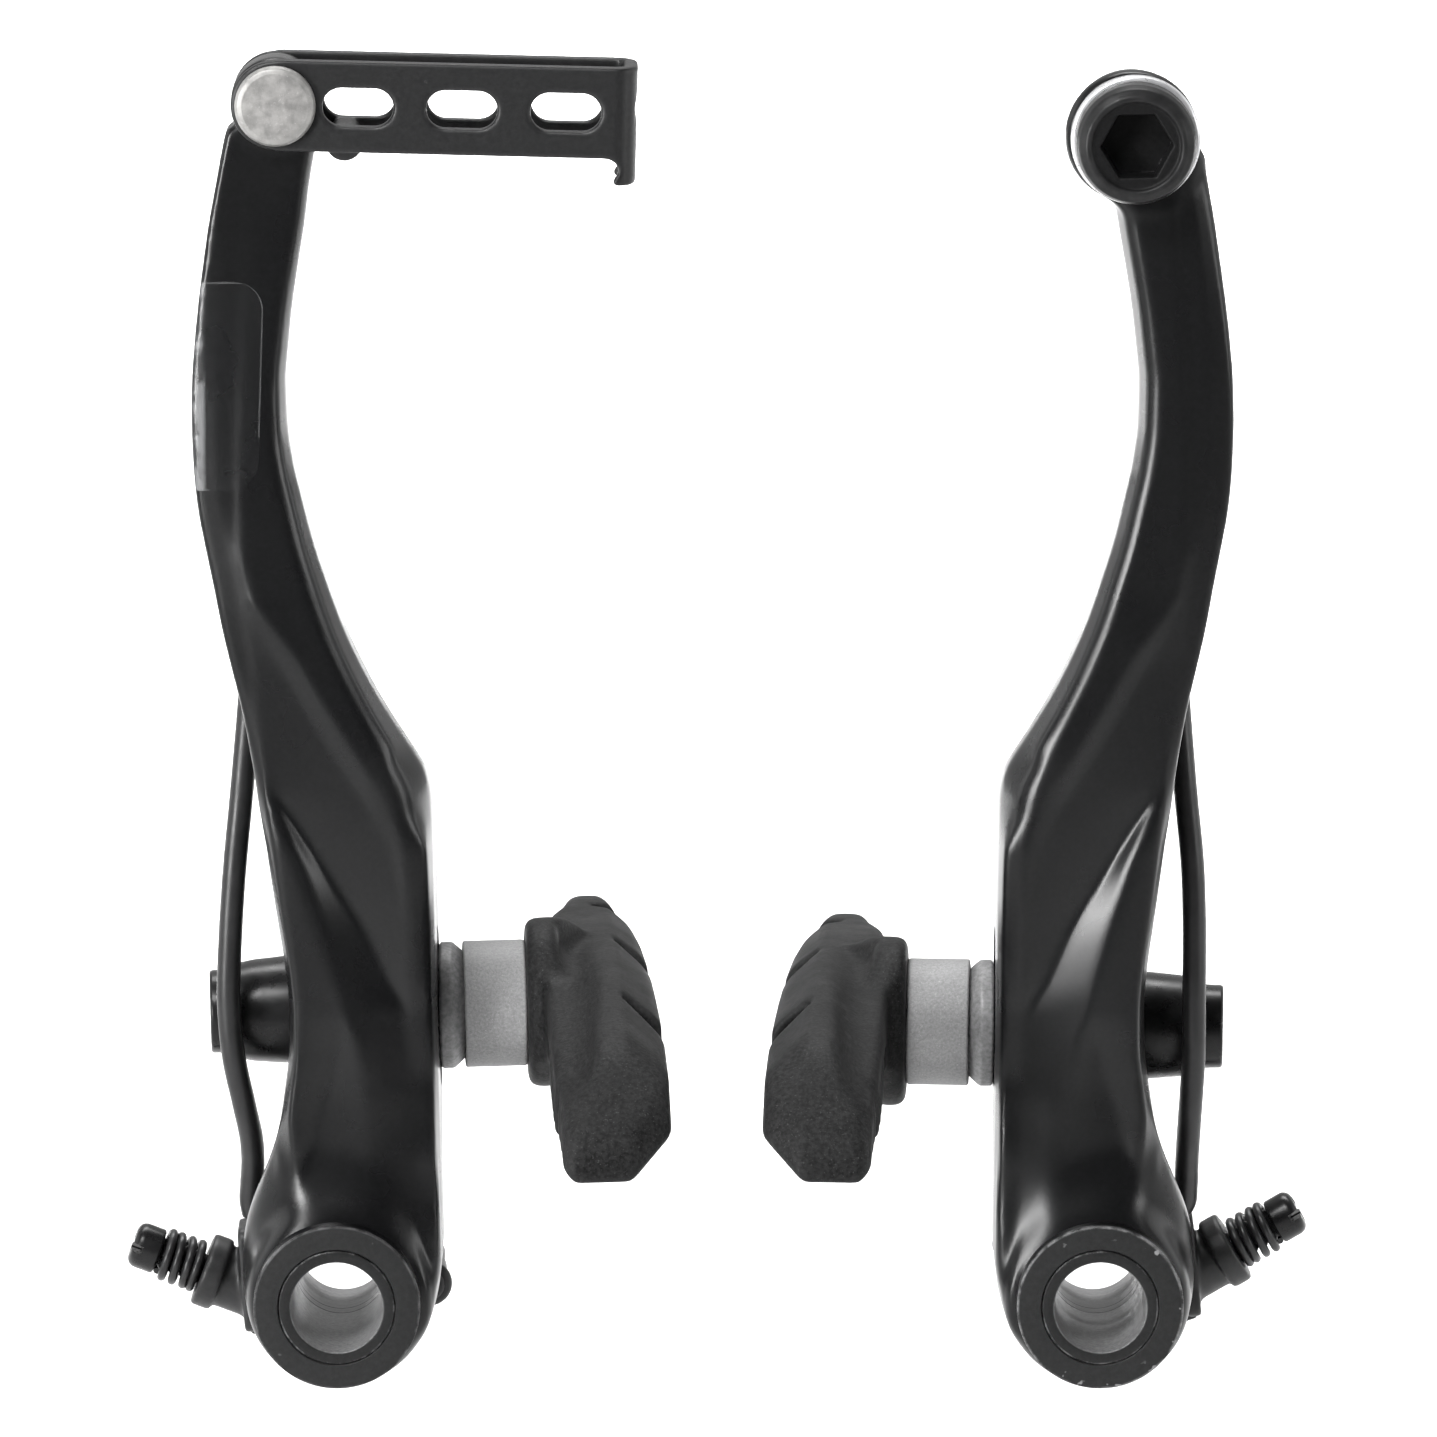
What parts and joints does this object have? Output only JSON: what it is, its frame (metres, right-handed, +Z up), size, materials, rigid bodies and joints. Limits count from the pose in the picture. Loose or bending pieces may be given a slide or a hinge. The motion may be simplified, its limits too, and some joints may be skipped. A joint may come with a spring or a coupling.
{
  "type": "linear-pull bicycle brake",
  "caption": "Bicycle rim brake: a pair of upright pivoting arms with rubber shoes on ball-seat washers, return springs, a swinging cable link on one arm and a cable clamp on the other.",
  "frame": {"origin": "midway between the two pivot axes, at the shoulder plane of the frame bosses", "axes": "+X from the link arm to the clamp arm, +Z up along the arms, +Y towards the frame, so the front is -Y"},
  "size_m": [0.105, 0.0674, 0.1182],
  "materials": {
    "arm_paint": "gloss black paint on forged aluminium",
    "bush_steel": "dark plated steel, worn edges",
    "bracket_steel": "dark plated steel",
    "spring_wire": "blackened spring steel",
    "sleeve_plastic": "black plastic tube",
    "washer_grey": "grey blasted",
    "black_steel": "black oxide",
    "shoe_rubber": "matt dark grey moulded rubber",
    "link_steel": "satin black plated steel",
    "pin_silver": "dull silver, mottled",
    "bright_plate": "bright plated"
  },
  "bodies": {
    "left_mount": {"left_bush": "bush_steel", "left_spring_holder": "bracket_steel", "left_rear_collar": "bracket_steel", "left_stop_pin": "bracket_steel", "left_return_spring": "spring_wire", "left_spring_sleeve": "sleeve_plastic", "left_screw_spring": "spring_wire"},
    "left_arm": {"left_arm": "arm_paint", "left_spring_hook": "bracket_steel"},
    "left_shoe_seat": {"left_inner_dome_washer": "washer_grey", "left_outer_dome_washer": "washer_grey"},
    "left_shoe_cups": {"left_inner_cup_washer": "washer_grey", "left_outer_cup_washer": "washer_grey"},
    "left_shoe": {"left_shoe_stud": "bracket_steel", "left_shoe_nut": "black_steel", "left_brake_shoe": "shoe_rubber"},
    "left_tension_screw": {"left_tension_screw": "black_steel"},
    "right_mount": {"right_bush": "bush_steel", "right_spring_holder": "bracket_steel", "right_rear_collar": "bracket_steel", "right_stop_pin": "bracket_steel", "right_return_spring": "spring_wire", "right_spring_sleeve": "sleeve_plastic", "right_screw_spring": "spring_wire"},
    "right_arm": {"right_arm": "arm_paint", "right_spring_hook": "bracket_steel", "cable_washer": "bright_plate", "cable_bolt": "black_steel"},
    "right_shoe_seat": {"right_inner_dome_washer": "washer_grey", "right_outer_dome_washer": "washer_grey"},
    "right_shoe_cups": {"right_inner_cup_washer": "washer_grey", "right_outer_cup_washer": "washer_grey"},
    "right_shoe": {"right_shoe_stud": "bracket_steel", "right_shoe_nut": "black_steel", "right_brake_shoe": "shoe_rubber"},
    "right_tension_screw": {"right_tension_screw": "black_steel"},
    "cable_link": {"cable_link": "link_steel", "link_pin": "pin_silver"}
  },
  "joints": [
    {"name": "left_arm_pivot", "type": "hinge", "parent": "left_mount", "child": "left_arm", "pos_m": [-0.0335, -0.012, 0], "axis": [0, 1, 0], "range_deg": [-25, 4], "stiffness_Nm_per_rad": 1.5, "deforming": ["left_return_spring", "left_spring_sleeve"]},
    {"name": "left_shoe_height", "type": "slide", "parent": "left_arm", "child": "left_shoe_seat", "axis": [-0.0209, 0, 0.9998], "range_m": [-0.0035, 0.0035]},
    {"name": "left_shoe_toe", "type": "hinge", "parent": "left_shoe_seat", "child": "left_shoe_cups", "pos_m": [-0.02769, -0.008, 0.02363], "axis": [-0.0209, 0, 0.9998], "range_deg": [-2.5, 2.5]},
    {"name": "left_shoe_turn", "type": "hinge", "parent": "left_shoe_cups", "child": "left_shoe", "pos_m": [-0.02769, -0.008, 0.02363], "axis": [0.9989, 0.0419, 0.0209], "range_deg": [-10, 10]},
    {"name": "left_screw_travel", "type": "slide", "parent": "left_mount", "child": "left_tension_screw", "axis": [-0.9336, 0, 0.3584], "range_m": [-0.0008, 0.003], "deforming": ["left_screw_spring", "left_return_spring"]},
    {"name": "right_arm_pivot", "type": "hinge", "parent": "right_mount", "child": "right_arm", "pos_m": [0.0335, -0.012, 0], "axis": [0, -1, 0], "range_deg": [-25, 4], "stiffness_Nm_per_rad": 1.5, "deforming": ["right_return_spring", "right_spring_sleeve"]},
    {"name": "right_shoe_height", "type": "slide", "parent": "right_arm", "child": "right_shoe_seat", "axis": [0.0079, 0, 1], "range_m": [-0.002, 0.005]},
    {"name": "right_shoe_toe", "type": "hinge", "parent": "right_shoe_seat", "child": "right_shoe_cups", "pos_m": [0.02737, -0.008, 0.02205], "axis": [-0.0079, 0, -1], "range_deg": [-2.5, 2.5]},
    {"name": "right_shoe_turn", "type": "hinge", "parent": "right_shoe_cups", "child": "right_shoe", "pos_m": [0.02737, -0.008, 0.02205], "axis": [0.9991, -0.0419, -0.0078], "range_deg": [-10, 10]},
    {"name": "right_screw_travel", "type": "slide", "parent": "right_mount", "child": "right_tension_screw", "axis": [0.8616, 0, 0.5075], "range_m": [-0.0008, 0.003], "deforming": ["right_screw_spring", "right_return_spring"]},
    {"name": "link_pivot", "type": "hinge", "parent": "left_arm", "child": "cable_link", "pos_m": [-0.03834, -0.017, 0.10602], "axis": [0, 1, 0], "range_deg": [-60, 12]},
    {"name": "boss_spacing", "type": "slide", "parent": "left_mount", "child": "right_mount", "axis": [1, 0, 0], "range_m": [0, 0.018]}
  ]
}
